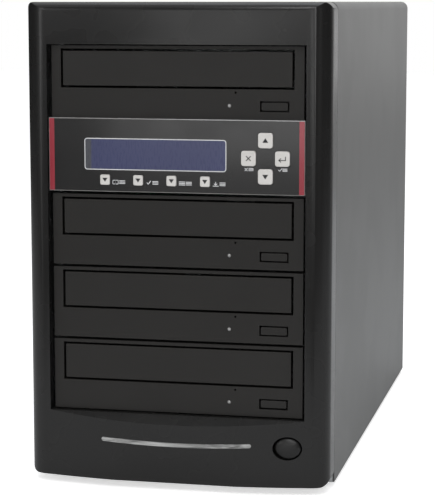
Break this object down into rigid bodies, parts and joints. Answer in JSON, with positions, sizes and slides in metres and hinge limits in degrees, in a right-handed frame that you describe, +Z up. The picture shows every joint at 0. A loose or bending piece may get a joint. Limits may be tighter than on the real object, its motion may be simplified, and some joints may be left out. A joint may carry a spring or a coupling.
{
  "type": "disc duplicator tower",
  "caption": "Upright disc duplicator: stacked tray drives and a keyed control panel in a steel case with a moulded bezel.",
  "frame": {"origin": "middle of the bounding box's bottom face, on the surface that the feet stand on", "axes": "+Z up, the front with the drive trays faces -Y, +X to the right seen from the front"},
  "size_m": [0.18, 0.3808, 0.2834],
  "materials": {
    "bezel_plastic": "fine moulded grain, black",
    "cover_paint": "satin black powder paint",
    "steel_sheet": "zinc-plated sheet",
    "rear_paint": "satin black powder paint",
    "drive_plastic": "fine moulded grain, black",
    "tray_plastic": "fine moulded grain, black",
    "loader_plastic": "moulded, dark grey",
    "platter": "moulded with a rubber ring",
    "sled_metal": "die cast",
    "overlay_plate": "black gloss plate with red end bars",
    "key_plastic": "light grey with printed marks",
    "display": "blue display behind clear film",
    "button_plastic": "polished black",
    "strip_clear": "frosted clear light pipe",
    "lamp_clear": "frosted clear light pipe",
    "housing_plastic": "moulded, black",
    "board": "green solder mask",
    "rubber_pad": "moulded rubber",
    "screw_steel": "nickel-plated",
    "wire": "bright plated wire",
    "fan_plastic": "moulded, black",
    "inlet_plastic": "moulded, black",
    "rocker_plastic": "polished black"
  },
  "bodies": {
    "case": {"front_bezel": "bezel_plastic", "light_strip": "strip_clear", "power_switch": "housing_plastic", "base_pan": "steel_sheet", "front_plate": "steel_sheet", "drive_cage": "steel_sheet", "outer_cover": "cover_paint", "rear_panel": "rear_paint", "feet": "rubber_pad", "rear_screws": "screw_steel", "bay_screws": "screw_steel", "fan_guards": "wire", "case_fan_frame": "fan_plastic", "psu_case": "steel_sheet", "mains_inlet": "inlet_plastic", "panel_overlay": "overlay_plate", "panel_housing": "housing_plastic", "lcd_module": "display", "controller_board": "board", "drive_lights": "lamp_clear", "drive_1_shell": "steel_sheet", "drive_1_bezel": "drive_plastic", "drive_1_loader": "loader_plastic", "drive_2_shell": "steel_sheet", "drive_2_bezel": "drive_plastic", "drive_2_loader": "loader_plastic", "drive_3_shell": "steel_sheet", "drive_3_bezel": "drive_plastic", "drive_3_loader": "loader_plastic", "drive_4_shell": "steel_sheet", "drive_4_bezel": "drive_plastic", "drive_4_loader": "loader_plastic"},
    "tray_1": {"drive_1_tray": "tray_plastic"},
    "eject_button_1": {"drive_1_eject_button": "drive_plastic"},
    "turntable_1": {"drive_1_turntable": "platter"},
    "laser_sled_1": {"drive_1_laser_sled": "sled_metal"},
    "tray_2": {"drive_2_tray": "tray_plastic"},
    "eject_button_2": {"drive_2_eject_button": "drive_plastic"},
    "turntable_2": {"drive_2_turntable": "platter"},
    "laser_sled_2": {"drive_2_laser_sled": "sled_metal"},
    "tray_3": {"drive_3_tray": "tray_plastic"},
    "eject_button_3": {"drive_3_eject_button": "drive_plastic"},
    "turntable_3": {"drive_3_turntable": "platter"},
    "laser_sled_3": {"drive_3_laser_sled": "sled_metal"},
    "tray_4": {"drive_4_tray": "tray_plastic"},
    "eject_button_4": {"drive_4_eject_button": "drive_plastic"},
    "turntable_4": {"drive_4_turntable": "platter"},
    "laser_sled_4": {"drive_4_laser_sled": "sled_metal"},
    "up_key": {"up_key": "key_plastic"},
    "down_key": {"down_key": "key_plastic"},
    "escape_key": {"escape_key": "key_plastic"},
    "enter_key": {"enter_key": "key_plastic"},
    "menu_key_1": {"menu_key_1": "key_plastic"},
    "menu_key_2": {"menu_key_2": "key_plastic"},
    "menu_key_3": {"menu_key_3": "key_plastic"},
    "menu_key_4": {"menu_key_4": "key_plastic"},
    "power_button": {"power_button": "button_plastic"},
    "mains_switch": {"mains_switch": "rocker_plastic"},
    "psu_fan": {"psu_fan_rotor": "fan_plastic"},
    "case_fan": {"case_fan_rotor": "fan_plastic"}
  },
  "joints": [
    {"name": "tray_1_slide", "type": "slide", "parent": "case", "child": "tray_1", "axis": [0, -1, 0], "range_m": [0, 0.135]},
    {"name": "eject_button_1_press", "type": "slide", "parent": "case", "child": "eject_button_1", "axis": [0, 1, 0], "range_m": [0, 0.0008], "stiffness_N_per_m": 400},
    {"name": "turntable_1_spin", "type": "hinge", "parent": "case", "child": "turntable_1", "pos_m": [0, -0.11015, 0.22505], "axis": [0, 0, 1], "continuous": true},
    {"name": "laser_sled_1_slide", "type": "slide", "parent": "case", "child": "laser_sled_1", "axis": [0, 1, 0], "range_m": [0, 0.035]},
    {"name": "tray_2_slide", "type": "slide", "parent": "case", "child": "tray_2", "axis": [0, -1, 0], "range_m": [0, 0.135]},
    {"name": "eject_button_2_press", "type": "slide", "parent": "case", "child": "eject_button_2", "axis": [0, 1, 0], "range_m": [0, 0.0008], "stiffness_N_per_m": 400},
    {"name": "turntable_2_spin", "type": "hinge", "parent": "case", "child": "turntable_2", "pos_m": [0, -0.11015, 0.13905], "axis": [0, 0, 1], "continuous": true},
    {"name": "laser_sled_2_slide", "type": "slide", "parent": "case", "child": "laser_sled_2", "axis": [0, 1, 0], "range_m": [0, 0.035]},
    {"name": "tray_3_slide", "type": "slide", "parent": "case", "child": "tray_3", "axis": [0, -1, 0], "range_m": [0, 0.135]},
    {"name": "eject_button_3_press", "type": "slide", "parent": "case", "child": "eject_button_3", "axis": [0, 1, 0], "range_m": [0, 0.0008], "stiffness_N_per_m": 400},
    {"name": "turntable_3_spin", "type": "hinge", "parent": "case", "child": "turntable_3", "pos_m": [0, -0.11015, 0.09605], "axis": [0, 0, 1], "continuous": true},
    {"name": "laser_sled_3_slide", "type": "slide", "parent": "case", "child": "laser_sled_3", "axis": [0, 1, 0], "range_m": [0, 0.035]},
    {"name": "tray_4_slide", "type": "slide", "parent": "case", "child": "tray_4", "axis": [0, -1, 0], "range_m": [0, 0.135]},
    {"name": "eject_button_4_press", "type": "slide", "parent": "case", "child": "eject_button_4", "axis": [0, 1, 0], "range_m": [0, 0.0008], "stiffness_N_per_m": 400},
    {"name": "turntable_4_spin", "type": "hinge", "parent": "case", "child": "turntable_4", "pos_m": [0, -0.11015, 0.05305], "axis": [0, 0, 1], "continuous": true},
    {"name": "laser_sled_4_slide", "type": "slide", "parent": "case", "child": "laser_sled_4", "axis": [0, 1, 0], "range_m": [0, 0.035]},
    {"name": "up_key_press", "type": "slide", "parent": "case", "child": "up_key", "axis": [0, 1, 0], "range_m": [0, 0.0006], "stiffness_N_per_m": 300},
    {"name": "down_key_press", "type": "slide", "parent": "case", "child": "down_key", "axis": [0, 1, 0], "range_m": [0, 0.0006], "stiffness_N_per_m": 300},
    {"name": "escape_key_press", "type": "slide", "parent": "case", "child": "escape_key", "axis": [0, 1, 0], "range_m": [0, 0.0006], "stiffness_N_per_m": 300},
    {"name": "enter_key_press", "type": "slide", "parent": "case", "child": "enter_key", "axis": [0, 1, 0], "range_m": [0, 0.0006], "stiffness_N_per_m": 300},
    {"name": "menu_key_1_press", "type": "slide", "parent": "case", "child": "menu_key_1", "axis": [0, 1, 0], "range_m": [0, 0.0006], "stiffness_N_per_m": 300},
    {"name": "menu_key_2_press", "type": "slide", "parent": "case", "child": "menu_key_2", "axis": [0, 1, 0], "range_m": [0, 0.0006], "stiffness_N_per_m": 300},
    {"name": "menu_key_3_press", "type": "slide", "parent": "case", "child": "menu_key_3", "axis": [0, 1, 0], "range_m": [0, 0.0006], "stiffness_N_per_m": 300},
    {"name": "menu_key_4_press", "type": "slide", "parent": "case", "child": "menu_key_4", "axis": [0, 1, 0], "range_m": [0, 0.0006], "stiffness_N_per_m": 300},
    {"name": "power_button_press", "type": "slide", "parent": "case", "child": "power_button", "axis": [0, 1, 0], "range_m": [0, 0.0025], "stiffness_N_per_m": 400},
    {"name": "mains_switch_rock", "type": "hinge", "parent": "case", "child": "mains_switch", "pos_m": [0.04, 0.18425, 0.066], "axis": [-1, 0, 0], "range_deg": [0, 16]},
    {"name": "psu_fan_spin", "type": "hinge", "parent": "case", "child": "psu_fan", "pos_m": [-0.024, 0.17585, 0.047], "axis": [0, 1, 0], "continuous": true},
    {"name": "case_fan_spin", "type": "hinge", "parent": "case", "child": "case_fan", "pos_m": [0, 0.17585, 0.149], "axis": [0, 1, 0], "continuous": true}
  ]
}
